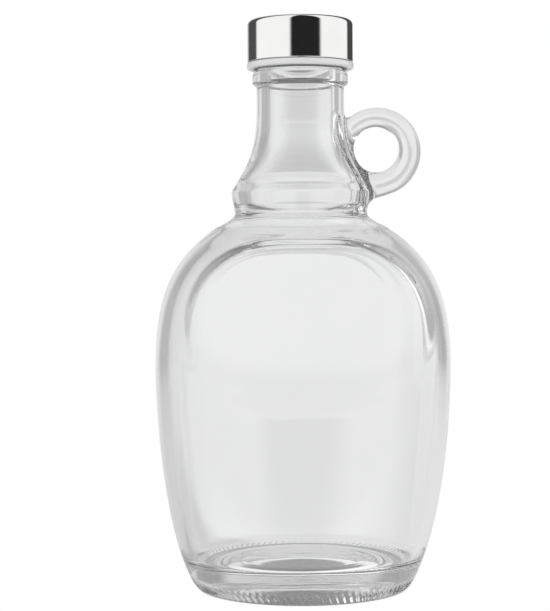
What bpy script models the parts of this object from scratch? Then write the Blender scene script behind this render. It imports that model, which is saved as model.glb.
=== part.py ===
# Clear glass flagon jug of about one litre, with a finger ring on its neck and a
# steel screw cap that has a white plastic insert. Metres, +Z up. The jug stands on
# z = 0 with its axis on x = y = 0. The finger ring is on the +X side, and a flat
# label panel faces -Y with a second one behind it.

import math

import bmesh
import bpy
import numpy as np

# Outline of the glass seen from the front, as half-widths and heights
GLASS_HEIGHT = 0.2277
BODY_HALF_WIDTH = 0.0596
CREST_HEIGHT = 0.0878
BEARING_INNER_RADIUS = 0.0392
BEARING_OUTER_RADIUS = 0.0423
HEEL_TOP_RADIUS = 0.0456
HEEL_TOP_HEIGHT = 0.0037
WALL_LEAN_AT_HEEL = math.radians(27.2)
SHOULDER_END_RADIUS = 0.0352
SHOULDER_END_HEIGHT = 0.1459
SHOULDER_END_TURN = math.radians(54.5)
GROOVE_RADIUS = 0.0269
GROOVE_HEIGHT = 0.1523
BULGE_RADIUS = 0.0282
BULGE_HEIGHT = 0.1603
NECK_RADIUS = 0.01775
NECK_FOOT_HEIGHT = 0.1940
BEAD_RADIUS = 0.0194
BEAD_BOTTOM = 0.2034
BEAD_TOP = 0.2094
BEAD_ROUNDING = 0.0014
BEAD_FOOT_RISE = 0.0018
FINISH_RADIUS = 0.0173
FINISH_FOOT_RISE = 0.0002
LIP_ROUNDING = 0.0012

# How far each curve of the outline holds its direction past its end points
BEARING_REACH = 0.0010
HEEL_REACH_DOWN = 0.0018
HEEL_REACH_UP = 0.0277
CREST_REACH_DOWN = 0.0045
CREST_REACH_UP = 0.0305
SHOULDER_REACH_DOWN = 0.0226
SHOULDER_REACH_UP = 0.0025
GROOVE_REACH_DOWN = 0.0030
GROOVE_REACH_UP = 0.0021
BULGE_REACH_DOWN = 0.0025
BULGE_REACH_UP = 0.0035
NECK_REACH_DOWN = 0.0231

# Flask shape: fuller than an ellipse from above, and cut by two leaning panels
ROUND_EXPONENT = 2.0
FULL_EXPONENT = 2.8
FULL_FROM = 0.060
FULL_TO = 0.138
ROUND_FROM = 0.151
BELLY_DEPTH_RATIO = 0.835
BELLY_TO = 0.080
SHOULDER_DEPTH_RATIO = 0.893
SHOULDER_FROM = 0.102
SHOULDER_TO = 0.142
PANEL_CENTRE_HEIGHT = 0.109
PANEL_FOOT_HEIGHT = 0.0757
PANEL_HALF_DEPTH = 0.0440
PANEL_LEAN = 0.2066
PANEL_UPRIGHT_RADIUS = 0.625
PANEL_LEVEL_RADIUS = 0.250
CREASE_AT_TOP = 0.0010
CREASE_AT_SIDES = 0.0025
CREASE_AT_FOOT = 0.0040

# Pushed-up base: a shallow disc with a small step round it
PUSH_UP = 0.0094
PUSH_UP_CROWN = 0.0010
PUSH_UP_STEP_RADIUS = 0.0262
PUSH_UP_STEP_WIDTH = 0.0008
PUSH_UP_STEP = 0.0008
PUSH_UP_REACH_OUT = 0.0090
PUSH_UP_REACH_IN = 0.0017

# Glass thickness and the inside
WALL = 0.0041
PANEL_WALL = 0.0030
FLOOR_HEIGHT = 0.0114
FLOOR_CROWN = 0.0002
FLOOR_RADIUS = 0.0385
FLOOR_REACH_OUT = 0.0042
FLOOR_CORNER_REACH_UP = 0.0036
WAIST_BORE_RADIUS = 0.0217
WAIST_BORE_HEIGHT = 0.1562
WAIST_REACH_DOWN = 0.0045
SHOULDER_BORE_REACH_UP = 0.0073
BULGE_BORE_RADIUS = 0.0222
BULGE_BORE_HEIGHT = 0.1620
BULGE_BORE_REACH_UP = 0.0050
BORE_RADIUS = 0.0134
BORE_FOOT_HEIGHT = 0.1960
BORE_REACH_DOWN = 0.0180

# Finger ring
RING_CENTRE = (0.03095, 0.1775)
RING_RADIUS = 0.01357
RING_TUBE = 0.00437
RING_HOLE_SHIFT = (-0.00025, 0.0004)
RING_LEG_TURN = math.radians(-74.0)
RING_LEG_LENGTH = 0.0100

# Screw thread under the cap
THREAD_PITCH = 0.0042
THREAD_TURNS = 1.5
THREAD_START = 0.2155
THREAD_HEIGHT = 0.0011
THREAD_WIDTH = 0.0024
THREAD_CREST_SHARE = 0.45
THREAD_FADE_SHARE = 0.125
THREAD_ROOT_DEPTH = 0.0006
THREAD_END_DEPTH = 0.0003

# Cap
CAP_RADIUS = 0.0214
CAP_TOP = 0.2303
CAP_BOTTOM = 0.2132
CAP_CORNER = 0.0020
CAP_SHEET = 0.0005
RIM_RADIUS = 0.0217
RIM_BOTTOM = 0.2105
RIM_ROUNDING = 0.0008
INSERT_BORE = 0.0189
INSERT_TOP_THICKNESS = 0.0015
GAP = 0.0003

# Facet counts
GLASS_SEGMENTS = 64
CAVITY_SEGMENTS = 44
WALL_STEPS_BELOW_CREST = 7
WALL_STEPS_ABOVE_CREST = 13
INSIDE_STEPS_BELOW_CREST = 8
INSIDE_STEPS_ABOVE_CREST = 14
INSIDE_FIRST_STEP = 1
INSIDE_LAST_STEP = 19
SHORT_CURVE_STEPS = 4
NECK_STEPS = 8
NECK_BORE_STEPS = 7
ROUNDING_STEPS = 3
RING_SEGMENTS = 30
RING_SIDES = 10
THREAD_STEPS_A_TURN = 24
CAP_SEGMENTS = 48
CAP_CORNER_STEPS = 4
SMOOTH_BELOW_DEGREES = 40


def clear_scene():
    for thing in list(bpy.data.objects):
        bpy.data.objects.remove(thing, do_unlink=True)


def material(name, colour, roughness, metallic=0.0, transmission=0.0, ior=1.5):
    made = bpy.data.materials.new(name)
    made.use_nodes = True
    shader = made.node_tree.nodes["Principled BSDF"]
    shader.inputs["Base Color"].default_value = (*colour, 1.0)
    shader.inputs["Roughness"].default_value = roughness
    shader.inputs["Metallic"].default_value = metallic
    shader.inputs["Transmission Weight"].default_value = transmission
    shader.inputs["IOR"].default_value = ior
    return made


def curve(start, start_handle, end_handle, end, steps):
    """Points of a cubic curve after its start, up to and with its end."""
    share = np.linspace(0.0, 1.0, steps + 1)[1:, None]
    ends = [np.array(point) for point in (start, start_handle, end_handle, end)]
    return list(
        (1 - share) ** 3 * ends[0]
        + 3 * (1 - share) ** 2 * share * ends[1]
        + 3 * (1 - share) * share**2 * ends[2]
        + share**3 * ends[3]
    )


def arc(centre, radius, first, last, steps):
    """Points of a round arc from one angle to another, both given in degrees."""
    angles = np.radians(np.linspace(first, last, steps + 1))
    return [np.array(centre) + radius * np.array([math.cos(a), math.sin(a)]) for a in angles]


def eased(stations, height):
    """A value that passes from station to station with level tangents."""
    heights = [station[0] for station in stations]
    values = [station[1] for station in stations]
    index = int(np.clip(np.searchsorted(heights, height) - 1, 0, len(heights) - 2))
    share = (height - heights[index]) / (heights[index + 1] - heights[index])
    share = min(max(share, 0.0), 1.0)
    share = share * share * (3 - 2 * share)
    return values[index] + (values[index + 1] - values[index]) * share


def upward(point, reach):
    return (point[0], point[1] + reach)


def shoulder_end():
    """Where the shoulder runs out, and the direction of its outline there."""
    point = np.array([SHOULDER_END_RADIUS, SHOULDER_END_HEIGHT])
    inward = np.array([-math.sin(SHOULDER_END_TURN), math.cos(SHOULDER_END_TURN)])
    return point, inward


def wall_outline(steps_below, steps_above):
    """Half-width and height from the heel over the crest to the shoulder's end."""
    crest = (BODY_HALF_WIDTH, CREST_HEIGHT)
    heel = np.array([HEEL_TOP_RADIUS, HEEL_TOP_HEIGHT])
    lean = np.array([math.sin(WALL_LEAN_AT_HEEL), math.cos(WALL_LEAN_AT_HEEL)])
    shoulder, inward = shoulder_end()
    points = [heel]
    points += curve(
        heel,
        heel + HEEL_REACH_UP * lean,
        upward(crest, -CREST_REACH_DOWN),
        crest,
        steps_below,
    )
    points += curve(
        crest,
        upward(crest, CREST_REACH_UP),
        shoulder - SHOULDER_REACH_DOWN * inward,
        shoulder,
        steps_above,
    )
    return points


def base_outline():
    """The pushed-up base from its middle to the ring that the jug stands on."""
    step = PUSH_UP_STEP_RADIUS
    edge = PUSH_UP - PUSH_UP_CROWN
    low = edge - PUSH_UP_STEP
    rim = (BEARING_INNER_RADIUS, 0.0)
    points = [
        np.array([0.0, PUSH_UP]),
        np.array([step / 2, PUSH_UP - PUSH_UP_CROWN / 4]),
        np.array([step, edge]),
        np.array([step + PUSH_UP_STEP_WIDTH, low]),
    ]
    points += curve(
        points[-1],
        (step + PUSH_UP_STEP_WIDTH + PUSH_UP_REACH_OUT, low),
        (BEARING_INNER_RADIUS - PUSH_UP_REACH_IN, 0.0),
        rim,
        SHORT_CURVE_STEPS,
    )
    return points


def neck_outline():
    """The groove, the bulge and the neck above the shoulder, and the finish."""
    shoulder, inward = shoulder_end()
    groove = (GROOVE_RADIUS, GROOVE_HEIGHT)
    bulge = (BULGE_RADIUS, BULGE_HEIGHT)
    foot = (NECK_RADIUS, NECK_FOOT_HEIGHT)
    bead = BEAD_RADIUS - BEAD_ROUNDING
    lip = (FINISH_RADIUS - LIP_ROUNDING, GLASS_HEIGHT - LIP_ROUNDING)
    points = curve(
        shoulder,
        shoulder + SHOULDER_REACH_UP * inward,
        upward(groove, -GROOVE_REACH_DOWN),
        groove,
        SHORT_CURVE_STEPS,
    )
    points += curve(
        groove,
        upward(groove, GROOVE_REACH_UP),
        upward(bulge, -BULGE_REACH_DOWN),
        bulge,
        SHORT_CURVE_STEPS,
    )
    points += curve(
        bulge,
        upward(bulge, BULGE_REACH_UP),
        upward(foot, -NECK_REACH_DOWN),
        foot,
        NECK_STEPS,
    )
    points.append(np.array([NECK_RADIUS, BEAD_BOTTOM]))
    points += arc((bead, BEAD_BOTTOM + BEAD_FOOT_RISE), BEAD_ROUNDING, -60, 0, ROUNDING_STEPS - 1)
    points += arc((bead, BEAD_TOP - BEAD_ROUNDING), BEAD_ROUNDING, 0, 90, ROUNDING_STEPS)
    points.append(np.array([FINISH_RADIUS, BEAD_TOP + FINISH_FOOT_RISE]))
    points += arc(lip, LIP_ROUNDING, 0, 90, ROUNDING_STEPS)
    return points


def outside_outline():
    """Half-width and height from the middle of the base up to the lip."""
    bearing = (BEARING_OUTER_RADIUS, 0.0)
    heel = np.array([HEEL_TOP_RADIUS, HEEL_TOP_HEIGHT])
    lean = np.array([math.sin(WALL_LEAN_AT_HEEL), math.cos(WALL_LEAN_AT_HEEL)])
    points = base_outline() + [np.array(bearing)]
    points += curve(
        bearing,
        (BEARING_OUTER_RADIUS + BEARING_REACH, 0.0),
        heel - HEEL_REACH_DOWN * lean,
        heel,
        SHORT_CURVE_STEPS,
    )
    points += wall_outline(WALL_STEPS_BELOW_CREST, WALL_STEPS_ABOVE_CREST)[1:]
    return points + neck_outline()


def inside_wall():
    """The wall's outline moved inward by the glass thickness."""
    outer = wall_outline(INSIDE_STEPS_BELOW_CREST, INSIDE_STEPS_ABOVE_CREST)
    moved = []
    for before, here, after in zip(outer[:1] + outer, outer, outer[1:]):
        along = (after - before) / np.linalg.norm(after - before)
        moved.append(here + WALL * np.array([-along[1], along[0]]))
    return moved


def inside_outline():
    """Half-width and height from the middle of the floor up past the lip."""
    wall = inside_wall()
    first = wall[INSIDE_FIRST_STEP]
    last = wall[INSIDE_LAST_STEP]
    rising = wall[INSIDE_FIRST_STEP + 1] - wall[INSIDE_FIRST_STEP - 1]
    rising = rising / np.linalg.norm(rising)
    closing = last - wall[INSIDE_LAST_STEP - 1]
    closing = closing / np.linalg.norm(closing)
    centre = np.array([0.0, FLOOR_HEIGHT + FLOOR_CROWN])
    floor = (FLOOR_RADIUS, FLOOR_HEIGHT)
    waist = (WAIST_BORE_RADIUS, WAIST_BORE_HEIGHT)
    bulge = (BULGE_BORE_RADIUS, BULGE_BORE_HEIGHT)
    foot = (BORE_RADIUS, BORE_FOOT_HEIGHT)
    points = [centre]
    points += curve(
        centre,
        (FLOOR_RADIUS / 2, FLOOR_HEIGHT + FLOOR_CROWN),
        (FLOOR_RADIUS / 2, FLOOR_HEIGHT),
        floor,
        2,
    )
    points += curve(
        floor,
        (FLOOR_RADIUS + FLOOR_REACH_OUT, FLOOR_HEIGHT),
        first - FLOOR_CORNER_REACH_UP * rising,
        first,
        SHORT_CURVE_STEPS + 1,
    )
    points += wall[INSIDE_FIRST_STEP + 1 : INSIDE_LAST_STEP : 2]
    points.append(last)
    points += curve(
        last,
        last + SHOULDER_BORE_REACH_UP * closing,
        upward(waist, -WAIST_REACH_DOWN),
        waist,
        SHORT_CURVE_STEPS,
    )
    points.append(np.array(bulge))
    points += curve(
        bulge,
        upward(bulge, BULGE_BORE_REACH_UP),
        upward(foot, -BORE_REACH_DOWN),
        foot,
        NECK_BORE_STEPS,
    )
    # The mouth widens with the lip, and the cutting body runs out above it
    points.append(np.array([BORE_RADIUS, GLASS_HEIGHT - LIP_ROUNDING]))
    points.append(np.array([BORE_RADIUS + 2 * LIP_ROUNDING, GLASS_HEIGHT + LIP_ROUNDING]))
    return points


def ring_of_section(half_width, height, segments, panel_inset):
    """One level ring of the flask: a full oval, cut front and back by the panels."""
    exponent = eased(
        [
            (0.0, ROUND_EXPONENT),
            (FULL_FROM, FULL_EXPONENT),
            (FULL_TO, FULL_EXPONENT),
            (ROUND_FROM, ROUND_EXPONENT),
        ],
        height,
    )
    ratio = eased(
        [
            (BELLY_TO, BELLY_DEPTH_RATIO),
            (SHOULDER_FROM, SHOULDER_DEPTH_RATIO),
            (SHOULDER_TO, SHOULDER_DEPTH_RATIO),
            (ROUND_FROM, 1.0),
        ],
        height,
    )
    below = max(1.0 - height / PANEL_FOOT_HEIGHT, 0.0)
    ratio += (1.0 - BELLY_DEPTH_RATIO) * below**2
    blend = eased(
        [
            (BELLY_TO, CREASE_AT_FOOT),
            (PANEL_CENTRE_HEIGHT, CREASE_AT_SIDES),
            (FULL_TO, CREASE_AT_TOP),
        ],
        height,
    )
    above = min(height, GROOVE_HEIGHT) - PANEL_CENTRE_HEIGHT
    panel = PANEL_HALF_DEPTH - PANEL_LEAN * above - above**2 / (2 * PANEL_UPRIGHT_RADIUS) - panel_inset
    angle = 2 * math.pi * (np.arange(segments) + 0.5) / segments
    across = np.abs(np.cos(angle))
    along = np.abs(np.sin(angle))
    full = (across**exponent + (along / ratio) ** exponent) ** (-1 / exponent) * half_width
    cut = 2 * panel / (along + np.sqrt(along**2 + 2 * panel * across**2 / PANEL_LEVEL_RADIUS))
    # The two surfaces meet in a narrow rounded crease
    overlap = np.maximum(blend - np.abs(full - cut), 0.0) / blend
    radius = np.minimum(full, cut) - overlap**2 * blend / 4
    return np.stack([radius * np.cos(angle), radius * np.sin(angle), np.full(segments, height)], 1)


def placed(name, mesh):
    bmesh.ops.recalc_face_normals(mesh, faces=mesh.faces)
    data = bpy.data.meshes.new(name)
    mesh.to_mesh(data)
    mesh.free()
    thing = bpy.data.objects.new(name, data)
    bpy.context.scene.collection.objects.link(thing)
    return thing


def closed_mesh(name, rings, poles):
    """A closed body from level rings and a point at its foot and at its head."""
    mesh = bmesh.new()
    rows = [[mesh.verts.new(point) for point in ring] for ring in rings]
    count = len(rows[0])
    for low, high in zip(rows, rows[1:]):
        for i in range(count):
            j = (i + 1) % count
            mesh.faces.new((low[i], low[j], high[j], high[i]))
    foot, head = (mesh.verts.new(point) for point in poles)
    for i in range(count):
        j = (i + 1) % count
        mesh.faces.new((foot, rows[0][j], rows[0][i]))
        mesh.faces.new((head, rows[-1][i], rows[-1][j]))
    return placed(name, mesh)


def tube_mesh(name, rows, closed):
    """A tube through rows of points, closed on itself or with flat ends."""
    mesh = bmesh.new()
    rows = [[mesh.verts.new(point) for point in row] for row in rows]
    sides = len(rows[0])
    following = rows[1:] + rows[:1] if closed else rows[1:]
    for row, after in zip(rows, following):
        for k in range(sides):
            m = (k + 1) % sides
            mesh.faces.new((row[k], row[m], after[m], after[k]))
    if not closed:
        mesh.faces.new(rows[0])
        mesh.faces.new(rows[-1])
    return placed(name, mesh)


def flask_body(name, outline, segments, panel_inset):
    """The turned and flattened body whose outline starts and ends on the axis."""
    rings = [ring_of_section(width, height, segments, panel_inset) for width, height in outline[1:]]
    foot = (0.0, 0.0, outline[0][1])
    head = (0.0, 0.0, outline[-1][1])
    return closed_mesh(name, rings, (foot, head))


def turned(name, outline, segments):
    """A closed turned body whose outline starts and ends on the axis."""
    angles = 2 * math.pi * np.arange(segments) / segments
    rings = [
        [(radius * math.cos(a), radius * math.sin(a), height) for a in angles]
        for radius, height in outline[1:-1]
    ]
    return closed_mesh(name, rings, ((0.0, 0.0, outline[0][1]), (0.0, 0.0, outline[-1][1])))


def ring_point(turn):
    """Middle of the ring's tube at an angle from +X, and the tube's radius there."""
    middle = (
        RING_CENTRE[0] + RING_RADIUS * math.cos(turn),
        RING_CENTRE[1] + RING_RADIUS * math.sin(turn),
    )
    # The hole isn't quite in the ring's middle, so the tube is thinner on top
    tube = RING_TUBE - RING_HOLE_SHIFT[0] * math.cos(turn) - RING_HOLE_SHIFT[1] * math.sin(turn)
    return middle, tube


def tube_row(middle, across, radius):
    """Points round the tube where it crosses the plane of y and one direction."""
    row = []
    for k in range(RING_SIDES):
        around = 2 * math.pi * (k + 0.5) / RING_SIDES
        out = radius * math.cos(around)
        row.append((middle[0] + out * across[0], radius * math.sin(around), middle[1] + out * across[1]))
    return row


def finger_ring():
    """A round tube bent to a ring in the XZ plane beside the neck."""
    rows = []
    for i in range(RING_SEGMENTS):
        turn = 2 * math.pi * i / RING_SEGMENTS
        middle, tube = ring_point(turn)
        rows.append(tube_row(middle, (math.cos(turn), math.sin(turn)), tube))
    return tube_mesh("finger_ring", rows, closed=True)


def ring_leg():
    """The ring's foot, which runs on from its underside into the neck's bulge."""
    start, tube = ring_point(RING_LEG_TURN)
    across = (math.cos(RING_LEG_TURN), math.sin(RING_LEG_TURN))
    rows = []
    for share in (0.0, 0.5, 1.0):
        reach = RING_LEG_LENGTH * share
        middle = (start[0] + reach * across[1], start[1] - reach * across[0])
        rows.append(tube_row(middle, across, tube))
    return tube_mesh("ring_leg", rows, closed=False)


def thread_ridge():
    """The raised right-hand thread, which sinks into the glass at both ends."""
    steps = int(THREAD_TURNS * THREAD_STEPS_A_TURN)
    root = FINISH_RADIUS - THREAD_ROOT_DEPTH
    half = THREAD_WIDTH / 2
    top = half * THREAD_CREST_SHARE
    rows = []
    for i in range(steps + 1):
        share = i / steps
        turn = 2 * math.pi * THREAD_TURNS * share
        height = THREAD_START + THREAD_PITCH * THREAD_TURNS * share
        full = min(1.0, share / THREAD_FADE_SHARE, (1 - share) / THREAD_FADE_SHARE)
        crest = FINISH_RADIUS + THREAD_HEIGHT * full - THREAD_END_DEPTH * (1 - full)
        section = [(root, -half), (crest, -top), (crest, top), (root, half)]
        rows.append([(r * math.cos(turn), r * math.sin(turn), height + z) for r, z in section])
    return tube_mesh("thread_ridge", rows, closed=False)


def joined(target, tool, operation):
    """Applies a Boolean with the exact solver and removes its tool."""
    change = target.modifiers.new(operation.lower(), "BOOLEAN")
    change.operation = operation
    change.solver = "EXACT"
    change.object = tool
    depsgraph = bpy.context.evaluated_depsgraph_get()
    result = bpy.data.meshes.new_from_object(target.evaluated_get(depsgraph))
    target.modifiers.clear()
    target.data = result
    bpy.data.objects.remove(tool, do_unlink=True)


def finished(thing, surface):
    """Gives a piece its one material and its smooth shading."""
    thing.data.materials.clear()
    thing.data.materials.append(surface)
    thing.data.polygons.foreach_set("material_index", [0] * len(thing.data.polygons))
    thing.data.shade_smooth()
    thing.data.set_sharp_from_angle(angle=math.radians(SMOOTH_BELOW_DEGREES))


def jug_glass():
    glass = material("clear_glass", (0.93, 0.95, 0.95), 0.02, transmission=1.0)
    jug = flask_body("jug_glass", outside_outline(), GLASS_SEGMENTS, 0.0)
    joined(jug, finger_ring(), "UNION")
    joined(jug, ring_leg(), "UNION")
    joined(jug, thread_ridge(), "UNION")
    cavity = flask_body("jug_cavity", inside_outline(), CAVITY_SEGMENTS, PANEL_WALL)
    joined(jug, cavity, "DIFFERENCE")
    finished(jug, glass)


def cap_shell():
    steel = material("polished_steel", (0.72, 0.72, 0.71), 0.18, metallic=1.0)
    corner = (CAP_RADIUS - CAP_CORNER, CAP_TOP - CAP_CORNER)
    outline = [np.array([0.0, CAP_TOP - CAP_SHEET])]
    outline += arc(corner, CAP_CORNER - CAP_SHEET, 90, 0, CAP_CORNER_STEPS // 2)
    outline.append(np.array([CAP_RADIUS - CAP_SHEET, CAP_BOTTOM]))
    outline.append(np.array([CAP_RADIUS, CAP_BOTTOM]))
    outline += arc(corner, CAP_CORNER, 0, 90, CAP_CORNER_STEPS)
    outline.append(np.array([0.0, CAP_TOP]))
    finished(turned("cap_shell", outline, CAP_SEGMENTS), steel)


def cap_insert():
    plastic = material("white_plastic", (0.86, 0.86, 0.85), 0.35)
    radius = CAP_RADIUS - CAP_SHEET - GAP
    top = CAP_TOP - CAP_SHEET - GAP
    corner = CAP_CORNER - CAP_SHEET - GAP
    under = top - INSERT_TOP_THICKNESS
    outline = [np.array([0.0, under])]
    outline.append(np.array([INSERT_BORE, under]))
    outline.append(np.array([INSERT_BORE, RIM_BOTTOM]))
    rim = (RIM_RADIUS - RIM_ROUNDING, RIM_BOTTOM + RIM_ROUNDING)
    outline += arc(rim, RIM_ROUNDING, -90, 0, CAP_CORNER_STEPS // 2)
    outline.append(np.array([RIM_RADIUS, CAP_BOTTOM - GAP]))
    outline.append(np.array([radius, CAP_BOTTOM - GAP]))
    outline += arc((radius - corner, top - corner), corner, 0, 90, CAP_CORNER_STEPS // 2)
    outline.append(np.array([0.0, top]))
    finished(turned("cap_insert", outline, CAP_SEGMENTS), plastic)


clear_scene()
jug_glass()
cap_shell()
cap_insert()
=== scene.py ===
import math

import bmesh
import bpy
import numpy as np
from mathutils import Matrix, Vector


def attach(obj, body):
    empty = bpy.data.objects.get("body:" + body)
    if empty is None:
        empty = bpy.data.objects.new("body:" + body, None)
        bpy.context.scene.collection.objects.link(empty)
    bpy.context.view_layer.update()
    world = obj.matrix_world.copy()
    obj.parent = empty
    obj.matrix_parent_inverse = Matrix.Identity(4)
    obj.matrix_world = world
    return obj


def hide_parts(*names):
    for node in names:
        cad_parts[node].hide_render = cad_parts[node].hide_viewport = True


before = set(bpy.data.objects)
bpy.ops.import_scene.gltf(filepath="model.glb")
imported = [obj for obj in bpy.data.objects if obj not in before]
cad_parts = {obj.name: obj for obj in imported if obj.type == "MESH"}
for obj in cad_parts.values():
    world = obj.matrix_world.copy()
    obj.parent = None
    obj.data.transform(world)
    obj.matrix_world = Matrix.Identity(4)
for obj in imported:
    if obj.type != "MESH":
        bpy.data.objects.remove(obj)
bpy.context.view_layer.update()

# The flagon itself, blown in a mould from clear soda-lime glass. It is a flask with a
# leaning oval panel front and back, a pushed-up base with a knurled bearing ring, and
# a neck with a bulge, a bead and a screw finish.

GLASS_HEIGHT = 0.2277
BODY_HALF_WIDTH = 0.0596
CREST_HEIGHT = 0.0878
BEARING_INNER_RADIUS = 0.0392
BEARING_OUTER_RADIUS = 0.0423
HEEL_TOP_RADIUS = 0.0456
HEEL_TOP_HEIGHT = 0.0037
WALL_LEAN_AT_HEEL = math.radians(27.2)
SHOULDER_END_RADIUS = 0.0352
SHOULDER_END_HEIGHT = 0.1459
SHOULDER_END_TURN = math.radians(54.5)
GROOVE_RADIUS = 0.0269
GROOVE_HEIGHT = 0.1523
BULGE_RADIUS = 0.0282
BULGE_HEIGHT = 0.1603
NECK_RADIUS = 0.01775
NECK_FOOT_HEIGHT = 0.1940
BEAD_RADIUS = 0.0194
BEAD_BOTTOM = 0.2034
BEAD_TOP = 0.2094
BEAD_ROUNDING = 0.0014
BEAD_FILLET = 0.0008
BEAD_EASE = 0.0002
BEAD_EDGE_OUT = 0.0007
BEAD_EDGE_UP = 0.0006
BEAD_SIDE_UP = 0.0018
FINISH_RADIUS = 0.0173
FINISH_FILLET = 0.0006
FINISH_EASE = 0.0001
LIP_ROUNDING = 0.0012
PUSH_UP = 0.0094
PUSH_UP_CROWN = 0.0010
PUSH_UP_STEP_RADIUS = 0.0262
PUSH_UP_STEP_WIDTH = 0.0008
PUSH_UP_STEP = 0.0008
WALL = 0.0041
PANEL_WALL = 0.0030
FLOOR_HEIGHT = 0.0114
FLOOR_CROWN = 0.0002
FLOOR_RADIUS = 0.0385
FLOOR_FLAT_SHARE = 0.45
WAIST_BORE = (0.0217, 0.1562)
BULGE_BORE = (0.0222, 0.1620)
BORE_RADIUS = 0.0134
BORE_FOOT_HEIGHT = 0.1890
# How far each curve of the outline holds the direction that it has at its end.
WALL_PULL_AT_HEEL = 0.0277
WALL_PULL_BELOW_CREST = 0.0045
WALL_PULL_ABOVE_CREST = 0.0305
WALL_PULL_AT_SHOULDER = 0.0226
STEP_PULL = 0.0006
HOLLOW_PULL_AT_STEP = 0.0090
HOLLOW_PULL_AT_RIM = 0.0017
HEEL_PULL_AT_FOOT = 0.0010
HEEL_PULL_AT_WALL = 0.0018
GROOVE_PULL_AT_SHOULDER = 0.0025
GROOVE_PULL_BELOW = 0.0030
GROOVE_PULL_ABOVE = 0.0021
BULGE_PULL_BELOW = 0.0025
BULGE_PULL_ABOVE = 0.0035
NECK_PULL_AT_FOOT = 0.0231
FLOOR_PULL_INWARD = 0.0120
FLOOR_PULL_OUTWARD = 0.0042
INNER_WALL_PULL_BELOW = 0.0036
INNER_WALL_PULL_ABOVE = 0.0073
WAIST_BORE_PULL_BELOW = 0.0045
WAIST_BORE_PULL_ABOVE = 0.0022
BULGE_BORE_PULL_BELOW = 0.0022
BULGE_BORE_PULL_ABOVE = 0.0050
BORE_PULL_AT_FOOT = 0.0140
# Columns of points round the glass, and the share of the heel's rows where its bars begin.
COLUMNS = 208
KNURL_COLUMNS = 3 * COLUMNS
KNURL_FROM = 0.35


def curve(start, start_handle, end_handle, end, steps):
    """Points of a cubic curve after its start, up to and with its end."""
    share = np.linspace(0.0, 1.0, steps + 1)[1:, None]
    ends = [np.array(point, float) for point in (start, start_handle, end_handle, end)]
    return list(
        (1 - share) ** 3 * ends[0]
        + 3 * (1 - share) ** 2 * share * ends[1]
        + 3 * (1 - share) * share**2 * ends[2]
        + share**3 * ends[3]
    )


def arc(centre, radius, first, last, steps):
    """Points of a round arc from one angle to another, both given in degrees."""
    angles = np.radians(np.linspace(first, last, steps + 1))
    return [np.array(centre) + radius * np.array([math.cos(a), math.sin(a)]) for a in angles]


def straight(points, end, steps):
    """Points from the last of a run to a new end, without the first of them."""
    start = np.array(points[-1])
    return [start + (np.array(end) - start) * k / steps for k in range(1, steps + 1)]


def raised(point, reach):
    """A point moved straight up, or down where the reach is negative."""
    return (point[0], point[1] + reach)


def wall_outline(steps_below, steps_above):
    """Half-width and height from the heel over the crest to the shoulder's end."""
    crest = (BODY_HALF_WIDTH, CREST_HEIGHT)
    heel = np.array([HEEL_TOP_RADIUS, HEEL_TOP_HEIGHT])
    lean = np.array([math.sin(WALL_LEAN_AT_HEEL), math.cos(WALL_LEAN_AT_HEEL)])
    shoulder = np.array([SHOULDER_END_RADIUS, SHOULDER_END_HEIGHT])
    inward = np.array([-math.sin(SHOULDER_END_TURN), math.cos(SHOULDER_END_TURN)])
    points = [heel]
    points += curve(
        heel,
        heel + WALL_PULL_AT_HEEL * lean,
        raised(crest, -WALL_PULL_BELOW_CREST),
        crest,
        steps_below,
    )
    points += curve(
        crest,
        raised(crest, WALL_PULL_ABOVE_CREST),
        shoulder - WALL_PULL_AT_SHOULDER * inward,
        shoulder,
        steps_above,
    )
    return points


def base_rows():
    """The pushed-up disc, its step, and the hollow out to the ring that it stands on."""
    edge = PUSH_UP - PUSH_UP_CROWN
    low = edge - PUSH_UP_STEP
    step = PUSH_UP_STEP_RADIUS
    foot = (step + PUSH_UP_STEP_WIDTH, low)
    points = curve((0, PUSH_UP), (step / 3, PUSH_UP), (step * 2 / 3, edge), (step, edge), 10)
    points += curve(points[-1], (step + STEP_PULL, edge), (foot[0] - STEP_PULL, low), foot, 6)
    rim = (BEARING_INNER_RADIUS, 0.0)
    hollow = (foot[0] + HOLLOW_PULL_AT_STEP, low)
    points += curve(foot, hollow, (rim[0] - HOLLOW_PULL_AT_RIM, 0.0), rim, 24)
    return points


def heel_rows():
    """The ring that the jug stands on and the rounding up into the wall."""
    heel = np.array([HEEL_TOP_RADIUS, HEEL_TOP_HEIGHT])
    lean = np.array([math.sin(WALL_LEAN_AT_HEEL), math.cos(WALL_LEAN_AT_HEEL)])
    outer = (BEARING_OUTER_RADIUS, 0.0)
    points = straight([(BEARING_INNER_RADIUS, 0.0)], outer, 6)
    level = (outer[0] + HEEL_PULL_AT_FOOT, 0.0)
    points += curve(outer, level, heel - HEEL_PULL_AT_WALL * lean, heel, 9)
    return points


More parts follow.
